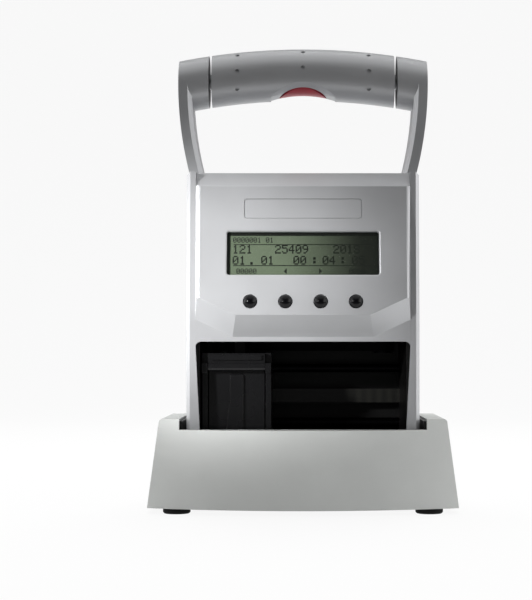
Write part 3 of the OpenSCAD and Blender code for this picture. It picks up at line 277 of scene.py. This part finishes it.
def black_rubber():
    # Moulded nitrile rubber: dusty matt black.
    return grained("black_rubber", to_linear("#050505"), roughness=0.75, grain_mm=0.7, bump=0.4, ior=1.3)


def bright_steel():
    # Ground steel rod and stamped sheet: bright, with a fine haze.
    return grained(
        "bright_steel", to_linear("#B8B9BC"), roughness=0.28, grain_mm=0.3, bump=0.05, metallic=1.0
    )


def blackened_steel_painted_shade():
    # Steel of the guide rods and small turned pieces, drawn nearly black with a dull metal gleam: the black
    # is painted shade of the chamber.
    return grained(
        "blackened_steel_painted_shade", to_linear("#1C1C1E"), roughness=0.34, grain_mm=0.3, bump=0.05, metallic=1.0
    )


def turned_brass():
    # Turned brass: warm and bright.
    return grained("turned_brass", to_linear("#C9A35C"), roughness=0.3, grain_mm=0.3, bump=0.05, metallic=1.0)


def bare_aluminium():
    # Extruded aluminium bar, unpolished.
    return grained(
        "bare_aluminium", to_linear("#B4B6B8"), roughness=0.38, grain_mm=0.4, bump=0.06, metallic=1.0
    )


def solder_mask():
    # Green solder mask over copper on glass-fibre board.
    return grained("solder_mask", to_linear("#1E5A38"), roughness=0.3, grain_mm=0.6, bump=0.1)


def display_ink():
    # Switched liquid crystal: dark green-black dots.
    return grained("display_ink", colours().ink, roughness=0.4, grain_mm=0.4, bump=0.05)


def black_painted_shade_ink():
    # Black drawn round the edge of the display as painted shade of the walls of its opening.
    return grained("black_painted_shade_ink", to_linear("#040404"), roughness=0.45, grain_mm=0.4, bump=0.05, ior=1.4)


def clear_acrylic():
    # Cast acrylic lens: clear, so only its gloss and a faint haze show.
    material, tree, output, place = new_material("clear_acrylic")
    haze = noise(tree, place, millimetres=6, detail=2.0)
    close_surface(tree, output, {
        "Base Color": rgba(to_linear("#20241F")),
        "Roughness": ramp(tree, haze, 0, 1, 0.05, 0.1, "LINEAR"),
        "IOR": 1.49,
        "Alpha": 0.14,
    })
    return material


def display_film():
    # Reflective film behind the liquid crystal: grey-green, with painted shade that darkens it towards its
    # right end.
    material, tree, output, place = new_material("display_film")
    low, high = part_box("display_glass")
    shade_start = low.x + 0.3 * (high.x - low.x)
    across = add(tree, "ShaderNodeSeparateXYZ", inputs={"Vector": place}).outputs["X"]
    # Painted shade: the film darkens from three tenths of its width across to its right end
    shade = ramp(tree, across, shade_start, high.x)
    mottle_share = 0.12
    mottle = calc(tree, "MULTIPLY", noise(tree, place, millimetres=9, detail=3.0), mottle_share)
    tone = blend(tree, calc(tree, "ADD", mottle, shade), colours().lcd, colours().lcd_painted_shade)
    close_surface(tree, output, {"Base Color": tone, "Roughness": 0.35})
    return material


def encoder_film_painted_shade():
    # Clear polyester film with a printed scale, drawn nearly black as painted shade of the chamber; the lines
    # are drawn far coarser than real so that they show.
    material, tree, output, place = new_material("encoder_film_painted_shade")
    line_mm = 3
    scale = per_metre(line_mm) / math.tau
    lines = add(tree, "ShaderNodeTexWave", {"bands_direction": "X"}, {"Vector": place, "Scale": scale})
    tone = blend(tree, lines.outputs["Fac"], to_linear("#0C0C0B"), to_linear("#121210"))
    close_surface(tree, output, {"Base Color": tone, "Roughness": 0.25})
    return material


_made = {}


def finish(maker):
    """Material from its maker, made once."""
    if maker.__name__ not in _made:
        _made[maker.__name__] = maker()
    return _made[maker.__name__]


def coat_nodes(*pairs):
    """Gives CAD nodes their finishes."""
    for node, maker in pairs:
        slots = NODES[node].data.materials
        slots.clear()
        slots.append(finish(maker))


def merged_copy(node, name):
    """Copy of a CAD node with its triangles joined into clean faces."""
    mesh = NODES[node].data.copy()
    mesh.name = name
    work = bmesh.new()
    work.from_mesh(mesh)
    bmesh.ops.remove_doubles(work, verts=work.verts, dist=WELD)
    bmesh.ops.dissolve_limit(work, angle_limit=FLAT, verts=work.verts, edges=work.edges)
    for face in work.faces:
        face.smooth = True
    for edge in work.edges:
        edge.smooth = edge.is_manifold and edge.calc_face_angle(0) < CURVED
    work.to_mesh(mesh)
    work.free()
    obj = bpy.data.objects.new(name, mesh)
    bpy.context.scene.collection.objects.link(obj)
    return obj


def dress(node, name, maker, edge):
    """Stands a copy with rounded edges in place of a CAD node."""
    obj = merged_copy(node, name)
    obj.data.materials.clear()
    obj.data.materials.append(finish(maker))
    bevel = obj.modifiers.new("edge", "BEVEL")
    bevel.width = edge
    bevel.segments = 3
    bevel.limit_method = "ANGLE"
    bevel.angle_limit = ROUNDED
    bevel.harden_normals = True
    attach(obj, BODY_OF[node])
    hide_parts(node)
    return obj


def new_piece(name, mesh, maker, body):
    """Finished mesh as a piece that rides on a body."""
    obj = bpy.data.objects.new(name, mesh)
    bpy.context.scene.collection.objects.link(obj)
    if not mesh.materials:
        mesh.materials.append(finish(maker))
    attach(obj, body)
    return obj


def on_points(name, points, tree, values):
    """Plain mesh that a node tree makes on a cloud of points; values go by the names of the tree's inputs."""
    seed = bpy.data.meshes.new(name + "_points")
    seed.from_pydata([tuple(p) for p in points], [], [])
    holder = bpy.data.objects.new(name + "_points", seed)
    bpy.context.scene.collection.objects.link(holder)
    modifier = holder.modifiers.new("nodes", "NODES")
    modifier.node_group = tree
    for item in tree.interface.items_tree:
        if item.name in values:
            modifier[item.identifier] = values[item.name]
    graph = bpy.context.evaluated_depsgraph_get()
    mesh = bpy.data.meshes.new_from_object(holder.evaluated_get(graph))
    mesh.name = name
    holder.modifiers.remove(modifier)
    bpy.data.objects.remove(holder)
    return mesh


def tile_tree(name, maker):
    """Node tree that puts a flat box of a given size and turn on every point."""
    tree = bpy.data.node_groups.new(name, "GeometryNodeTree")
    for socket, way, kind in (
        ("Geometry", "INPUT", "NodeSocketGeometry"),
        ("Size", "INPUT", "NodeSocketVector"),
        ("Turn", "INPUT", "NodeSocketVector"),
        ("Geometry", "OUTPUT", "NodeSocketGeometry"),
    ):
        tree.interface.new_socket(socket, in_out=way, socket_type=kind)
    given = add(tree, "NodeGroupInput")
    tile = add(tree, "GeometryNodeMeshCube", inputs={"Size": given.outputs["Size"]})
    placed = add(
        tree, "GeometryNodeInstanceOnPoints",
        inputs={
            "Points": given.outputs["Geometry"],
            "Instance": tile.outputs["Mesh"],
            "Rotation": given.outputs["Turn"],
        },
    )
    real = add(tree, "GeometryNodeRealizeInstances", inputs={"Geometry": placed.outputs["Instances"]})
    painted = add(
        tree, "GeometryNodeSetMaterial",
        inputs={"Geometry": real.outputs["Geometry"], "Material": finish(maker)},
    )
    add(tree, "NodeGroupOutput", inputs={"Geometry": painted.outputs["Geometry"]})
    return tree


class PRINTER_OT_dock(Operator):
    """Dresses the dock with its feet, contacts and power inlet"""

    bl_idname = "printer.dock"
    bl_label = "Dock"

    def execute(self, context):
        dress("dock_shell", "dock_moulding", light_grey_abs, sizes().dock_edge)
        dress("dock_feet", "dock_rubber_feet", black_rubber, sizes().inner_edge)
        # The well's lining is black as painted shade: it makes the narrow slots beside the printer as dark as
        # deep shade
        dress("dock_well_lining", "dock_well_painted_shade", black_abs, sizes().inner_edge)
        coat_nodes(
            ("dock_base_plate", black_abs),
            ("dock_screws", bright_steel),
            ("dock_contact_block", black_abs),
            ("dock_contact_pins", turned_brass),
            ("nozzle_cap", black_rubber),
            ("dock_power_jack", black_abs),
        )
        return {"FINISHED"}


class PRINTER_OT_case(Operator):
    """Dresses the side frames, covers, sole and chamber of the printer"""

    bl_idname = "printer.case"
    bl_label = "Case"

    def execute(self, context):
        edge = sizes().case_edge
        dress("left_side_frame", "left_side_moulding", silver_painted_abs, edge)
        dress("right_side_frame", "right_side_moulding", silver_painted_abs, edge)
        self.chamfer_panel(dress("front_cover", "front_moulding", silver_painted_abs, edge))
        dress("rear_cover", "rear_moulding", silver_painted_abs, edge)
        dress("name_plate", "plain_name_plate", silver_painted_abs, sizes().plate_edge)
        dress("battery_pack", "battery_case", black_abs, edge)
        dress("print_sole", "sole_plate", black_abs, sizes().inner_edge)
        dress("chamber_liner", "chamber_moulding", black_abs, sizes().inner_edge)
        coat_nodes(
            ("sole_pads", black_rubber),
            ("sole_screws", bright_steel),
            ("case_screws", bright_steel),
            ("battery_contacts", turned_brass),
            ("data_port", bright_steel),
            ("charge_contacts", turned_brass),
        )
        return {"FINISHED"}

    def chamfer_panel(self, cover):
        """Adds a wider bevel round the display's opening and along the two sides of the panel's face."""
        screen = Screen()
        near = 0.05 * MM
        corners = [Vector(v.co) - screen.middle for v in cover.data.vertices]
        face = max(c.dot(-INWARD) for c in corners)
        on_face = {i: c for i, c in enumerate(corners) if c.dot(-INWARD) > face - near}
        side = max(abs(c.x) for c in on_face.values()) - near
        bevelled = {
            i for i, c in on_face.items()
            if abs(c.x) > side or (abs(c.x) < screen.wide / 2 and abs(c.dot(UPWARD)) < screen.high / 2)
        }
        weight = cover.data.attributes.new("bevel_weight_edge", "FLOAT", "EDGE")
        for edge in cover.data.edges:
            weight.data[edge.index].value = float(set(edge.vertices) <= bevelled)
        wide = cover.modifiers.new("display_edge", "BEVEL")
        wide.width = sizes().display_edge
        wide.segments = 2
        wide.limit_method = "WEIGHT"
        # The wide bevel comes before the rounding of all edges
        cover.modifiers.move(1, 0)


class PRINTER_OT_handle(Operator):
    """Dresses the grip, the trigger and what is inside the handle"""

    bl_idname = "printer.handle"
    bl_label = "Handle"

    def execute(self, context):
        dress("grip_front_shell", "grip_front_moulding", silver_painted_abs, sizes().grip_edge)
        dress("grip_rear_shell", "grip_rear_moulding", silver_painted_abs, sizes().grip_edge)
        dress("trigger", "trigger_pad", red_abs, sizes().trigger_edge)
        coat_nodes(
            ("handle_core", bare_aluminium),
            ("handle_screws", bright_steel),
            ("trigger_switch", black_abs),
            ("switch_lever", bright_steel),
        )
        return {"FINISHED"}


# Dot patterns of the display's characters, seven rows of five dots from the top
DOT_ROWS = 7
DOT_COLUMNS = 5
GLYPHS = {
    "0": "01110 10001 10011 10101 11001 10001 01110",
    "1": "00100 01100 00100 00100 00100 00100 01110",
    "2": "01110 10001 00001 00110 01000 10000 11111",
    "4": "00010 00110 01010 10010 11111 00010 00010",
    "5": "11111 10000 11110 00001 00001 10001 01110",
    "8": "01110 10001 10001 01110 10001 10001 01110",
    "9": "01110 10001 10001 01111 00001 00010 01100",
    ".": "00000 00000 00000 00000 00000 01100 01100",
    ":": "00000 01100 01100 00000 01100 01100 00000",
    "<": "00010 00110 01110 11110 01110 00110 00010",
    ">": "01000 01100 01110 01111 01110 01100 01000",
}
# Middles of the four lines of text and of the two rules, in mm below the upper edge of the display's glass
HEAD, UPPER, LOWER, FOOT = 4.4, 9.6, 15.8, 21.9
RULES = 7.0, 18.8
# Text, its left end in mm from the margin, and its line
SMALL_TEXT = (
    ("0000001 01", 0, HEAD), ("00000", 2, FOOT), ("<", 27.7, FOOT), (">", 46.4, FOOT), ("0000", 63, FOOT),
)
LARGE_TEXT = (
    ("121", 0, UPPER), ("25409", 23, UPPER), ("2018", 54.7, UPPER),
    ("01", 0, LOWER), (".", 9, LOWER), ("01", 15.5, LOWER), ("00", 33, LOWER),
    (":", 43.1, LOWER), ("04", 48.8, LOWER), (":", 58.5, LOWER), ("05", 64.8, LOWER),
)


class Screen:
    """Front face of the display glass: x from its left edge, y down from its upper edge."""

    def __init__(self):
        low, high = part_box("display_glass")
        self.middle = (low + high) / 2
        self.wide = high.x - low.x
        corners = [Vector(v.co) - self.middle for v in NODES["display_glass"].data.vertices]
        self.high = 2 * max(c.dot(UPWARD) for c in corners)
        self.face = max(c.dot(-INWARD) for c in corners)

    def at(self, x, y):
        """Point a little in front of the glass."""
        lift = 0.02 * MM
        on_glass = ACROSS * (x - self.wide / 2) + UPWARD * (self.high / 2 - y)
        return self.middle + on_glass - INWARD * (self.face + lift)


def dots_of(screen, text, x, y, step, drop):
    """Middles of the dots of some text; x is its left end, y its middle, step and drop the dots' pitch."""
    dots = []
    for place, letter in enumerate(text):
        start = x + place * (DOT_COLUMNS + 1) * step
        for row, line in enumerate(GLYPHS.get(letter, "").split()):
            for dot, lit in enumerate(line):
                if lit == "1":
                    dots.append(screen.at(start + dot * step, y + (row - DOT_ROWS // 2) * drop))
    return dots


class PRINTER_OT_display(Operator):
    """Dresses the display and draws its dots"""

    bl_idname = "printer.display"
    bl_label = "Display"

    # Thickness of what is drawn on the glass
    thin = 0.03 * MM

    def execute(self, context):
        coat_nodes(
            ("display_window", clear_acrylic),
            ("display_glass", display_film),
            ("display_frame", bright_steel),
            ("main_board", solder_mask),
            ("board_screws", bright_steel),
            ("key_switches", black_abs),
        )
        screen = Screen()
        size = sizes()
        tree = tile_tree("display_dots", display_ink)
        self.text(screen, tree, "small_dots", SMALL_TEXT, size.small_column, size.small_height)
        self.text(screen, tree, "large_dots", LARGE_TEXT, size.large_column, size.large_height)
        rules = [screen.at(screen.wide / 2, y * MM) for y in RULES]
        self.tiles(tree, "rules", rules, screen.wide - 2 * size.text_margin, size.rule_height)
        # Painted shade of the opening's walls along the display's edge
        self.border(screen)
        return {"FINISHED"}

    def text(self, screen, tree, name, words, column, height):
        """Draws lines of text with dots that run into each other."""
        overlap_across, overlap_down = 1.2, 1.1
        step, drop = column / (DOT_COLUMNS + 1), height / DOT_ROWS
        dots = []
        for text, x, y in words:
            dots += dots_of(screen, text, sizes().text_margin + x * MM, y * MM, step, drop)
        self.tiles(tree, name, dots, overlap_across * step, overlap_down * drop)

    def tiles(self, tree, name, points, wide, high):
        """Draws flat tiles that lean as the panel does."""
        values = {"Size": (wide, self.thin, high), "Turn": (-PANEL_TILT, 0, 0)}
        mesh = on_points(name, points, tree, values)
        new_piece("display_" + name, mesh, display_ink, BODY_OF["display_glass"])

    def border(self, screen):
        """Draws a black edge round the glass as painted shade of the opening's walls, widest at the top and
        on the left.
        """
        rim = 0.3 * MM
        left, right, top, bottom = 2.0 * MM, 1.3 * MM, 2.1 * MM, 1.0 * MM
        corners = []
        for x0, x1, y0, y1 in ((rim, rim, rim, rim), (left, right, top, bottom)):
            x1, y1 = screen.wide - x1, screen.high - y1
            corners += [(x0, y0), (x1, y0), (x1, y1), (x0, y1)]
        mesh = bpy.data.meshes.new("border")
        faces = [(i, i + 4, (i + 1) % 4 + 4, (i + 1) % 4) for i in range(4)]
        mesh.from_pydata([tuple(screen.at(x, y)) for x, y in corners], [], faces)
        obj = new_piece(
            "display_painted_shade", mesh, black_painted_shade_ink, BODY_OF["display_glass"]
        )
        obj.modifiers.new("thickness", "SOLIDIFY").thickness = self.thin


class PRINTER_OT_keys(Operator):
    """Dresses the four keys"""

    bl_idname = "printer.keys"
    bl_label = "Keys"

    def execute(self, context):
        for node in ("key_1", "key_2", "key_3", "key_4"):
            dress(node, node + "_dome", gloss_black_pc, sizes().key_edge)
        return {"FINISHED"}


class PRINTER_OT_carriage(Operator):
    """Dresses the print carriage with its cartridge and latch"""

    bl_idname = "printer.carriage"
    bl_label = "Carriage"

    def execute(self, context):
        edge = sizes().inner_edge
        dress("carriage", "carriage_moulding", satin_black_pom, edge)
        dress("ink_cartridge", "cartridge_moulding", satin_black_pom, edge)
        dress("cartridge_latch", "latch_gate", satin_black_pom, edge)
        # The bushes and the latch pin are drawn nearly black as painted shade of the chamber
        coat_nodes(
            ("carriage_bushes", blackened_steel_painted_shade),
            ("belt_clamp", satin_black_pom),
            ("encoder_sensor", black_abs),
            ("nozzle_plate", turned_brass),
            ("latch_pin", blackened_steel_painted_shade),
        )
        return {"FINISHED"}


class PRINTER_OT_drive(Operator):
    """Dresses the rods, encoder strip, belt, pulleys and motor"""

    bl_idname = "printer.drive"
    bl_label = "Drive"

    def execute(self, context):
        # The rods, the motor pulley and the encoder strip are drawn nearly black as painted shade of the
        # chamber
        coat_nodes(
            ("main_guide_rod", blackened_steel_painted_shade),
            ("upper_guide_rod", blackened_steel_painted_shade),
            ("encoder_strip", encoder_film_painted_shade),
            ("drive_belt", black_rubber),
            ("drive_motor", bright_steel),
            ("motor_bracket", bright_steel),
            ("motor_pulley", blackened_steel_painted_shade),
            ("idler_pulley", satin_black_pom),
            ("idler_axle", blackened_steel_painted_shade),
        )
        return {"FINISHED"}


class PRINTER_OT_stage(Operator):
    """Sets the floor, the backdrop, the lights and the camera"""

    bl_idname = "printer.stage"
    bl_label = "Stage"

    def execute(self, context):
        self.floor()
        self.world()
        self.lights()
        self.camera()
        context.scene.view_settings.view_transform = "Standard"
        return {"FINISHED"}

    def floor(self):
        """Pale paper sweep: flat under the dock, curved up behind it."""
        near, far, bend, top, wide = -3.0, 2.0, 0.8, 2.4, 3.5
        line = [(near, 0.0), (far - bend, 0.0)]
        for angle in range(10, 100, 10):
            turn = math.radians(angle)
            line.append((far - bend + bend * math.sin(turn), bend - bend * math.cos(turn)))
        line.append((far, top))
        points = [(x, y, z) for x in (-wide, wide) for y, z in line]
        count = len(line)
        faces = [(i, i + count, i + count + 1, i + 1) for i in range(count - 1)]
        mesh = bpy.data.meshes.new("paper_sweep")
        mesh.from_pydata(points, [], faces)
        for face in mesh.polygons:
            face.use_smooth = True
        mesh.materials.append(self.paper())
        sweep = bpy.data.objects.new("paper_sweep", mesh)
        bpy.context.scene.collection.objects.link(sweep)

    def paper(self):
        # White paper that shows as an even pale ground. What the printer mirrors of it, and the light that it
        # throws back, fade towards the front and high up, as where a studio's dark side begins.
        material, tree, output, place = new_material("white_paper")
        glow_share = 0.955
        # Where the paper is darkest and where it is lightest, in metres, and how light it is there
        front, top = (-0.28, -0.08, 0.06, 0.95), (0.8, 0.2, 0.1, 1.0)
        path = add(tree, "ShaderNodeLightPath")
        split = add(tree, "ShaderNodeSeparateXYZ", inputs={"Vector": place})
        from_front = ramp(tree, split.outputs["Y"], *front)
        from_top = ramp(tree, split.outputs["Z"], *top)
        lit = calc(tree, "MULTIPLY", from_front, from_top)
        mirrored = calc(tree, "MULTIPLY", path.outputs["Is Glossy Ray"], lit)
        seen = calc(tree, "MAXIMUM", seen_directly(tree, path), mirrored)
        share = calc(tree, "MULTIPLY", seen, glow_share)
        tone = calc(tree, "MAXIMUM", path.outputs["Is Camera Ray"], lit)
        paper = add(tree, "ShaderNodeBsdfDiffuse", inputs={"Color": tone})
        glow = add(tree, "ShaderNodeEmission", inputs={"Color": rgba(to_linear("#FAFAFA")), "Strength": 1.0})
        mixed = add(
            tree, "ShaderNodeMixShader", inputs={0: share, 1: paper.outputs[0], 2: glow.outputs[0]}
        )
        tree.links.new(mixed.outputs[0], output.inputs["Surface"])
        return material

    def world(self):
        """Studio room: bright screens at both sides, a mid-grey ceiling, dim behind the camera.

        Past the floor's edge it shows as the same pale ground.
        """
        # Axis of the direction, where the screen starts and where it is full along it, and its strength
        left, right, ceiling = ("X", -0.5, -0.98, 1.6), ("X", 0.5, 0.98, 1.7), ("Z", 0.6, 0.95, 0.62)
        dim, pale = 0.08, 0.945
        world = bpy.data.worlds.new("studio")
        bpy.context.scene.world = world
        world.use_nodes = True
        tree = world.node_tree
        tree.nodes.clear()
        output = add(tree, "ShaderNodeOutputWorld")
        way = add(tree, "ShaderNodeTexCoord").outputs["Generated"]
        split = add(tree, "ShaderNodeSeparateXYZ", inputs={"Vector": way})
        level = dim
        for axis, start, end, strength in (left, right, ceiling):
            level = calc(tree, "ADD", ramp(tree, split.outputs[axis], start, end, 0.0, strength), level)
        path = add(tree, "ShaderNodeLightPath")
        shown = ramp(tree, seen_directly(tree, path), 0, 1, level, pale, "LINEAR")
        room = add(tree, "ShaderNodeBackground", inputs={"Color": (1, 1, 1, 1), "Strength": shown})
        tree.links.new(room.outputs[0], output.inputs["Surface"])

    def lights(self):
        """Two broad lamps and two spots."""
        # A broad front light that only the dull finishes catch, so the satin paint keeps its dark reflections
        front = bpy.data.lights.new("front", "AREA")
        front.size = 1.2
        front.energy = 4.2
        self.hang(front, (0.55, -1.2, 0.9), (0, 0, 0.1), False)
        # A back light high behind, for the tops and the rims
        back = bpy.data.lights.new("back", "AREA")
        back.size = 0.7
        back.energy = 24.0
        self.hang(back, (0.0, 0.5, 1.15), (0, 0.02, 0.15), False)
        # Spots whose soft pool lies on the lower left of the panel; the gloss shows only the weaker one
        for name, energy, glossy in (("pool", 76.0, False), ("gleam", 16.0, True)):
            spot = bpy.data.lights.new(name, "SPOT")
            spot.spot_size = math.radians(14)
            spot.spot_blend = 1.0
            spot.shadow_soft_size = 0.03
            spot.energy = energy
            self.hang(spot, (-0.5, -0.62, 0.3), (-0.046, -0.045, 0.125), glossy)

    def hang(self, lamp, place, aim, glossy):
        """Puts a lamp at a place, aims it, and says whether reflections show it."""
        obj = bpy.data.objects.new(lamp.name, lamp)
        obj.visible_camera = False
        obj.visible_glossy = glossy
        obj.location = place
        obj.rotation_euler = (Vector(aim) - Vector(place)).to_track_quat("-Z", "Y").to_euler()
        bpy.context.scene.collection.objects.link(obj)

    def camera(self):
        """The photograph's view: level, from the front, at the height of the chamber's upper edge."""
        focal_px = 1654.0
        axis_px = (303.0, 350.0)
        frame_px = (532.0, 600.0)
        lens = bpy.data.cameras.new("photo_view")
        lens.sensor_width = 36.0
        lens.lens = focal_px * lens.sensor_width / frame_px[1]
        lens.shift_x = (frame_px[0] / 2 - axis_px[0]) / frame_px[1]
        lens.shift_y = (axis_px[1] - frame_px[1] / 2) / frame_px[1]
        obj = bpy.data.objects.new("photo_view", lens)
        obj.location = (0.0, -0.942, 0.0886)
        obj.rotation_euler = (math.radians(90), 0, 0)
        bpy.context.scene.collection.objects.link(obj)
        bpy.context.scene.camera = obj


OPERATORS = (
    PRINTER_OT_dock,
    PRINTER_OT_case,
    PRINTER_OT_handle,
    PRINTER_OT_display,
    PRINTER_OT_keys,
    PRINTER_OT_carriage,
    PRINTER_OT_drive,
    PRINTER_OT_stage,
)


class PRINTER_PT_panel(Panel):
    """Lists the printer's pieces"""

    bl_idname = "PRINTER_PT_panel"
    bl_label = "Handheld Printer"
    bl_space_type = "VIEW_3D"
    bl_region_type = "UI"
    bl_category = "Printer"

    def draw(self, context):
        for operator in OPERATORS:
            self.layout.operator(operator.bl_idname)


CLASSES = (PrinterSizes, PrinterColours, *OPERATORS, PRINTER_PT_panel)


def register():
    for cls in CLASSES:
        bpy.utils.register_class(cls)
    bpy.types.Scene.printer_sizes = PointerProperty(type=PrinterSizes)
    bpy.types.Scene.printer_colours = PointerProperty(type=PrinterColours)


def unregister():
    del bpy.types.Scene.printer_colours
    del bpy.types.Scene.printer_sizes
    for cls in reversed(CLASSES):
        bpy.utils.unregister_class(cls)


def main():
    register()
    bpy.ops.printer.stage()
    bpy.ops.printer.dock()
    bpy.ops.printer.case()
    bpy.ops.printer.handle()
    bpy.ops.printer.display()
    bpy.ops.printer.keys()
    bpy.ops.printer.carriage()
    bpy.ops.printer.drive()


if __name__ == "__main__":
    main()
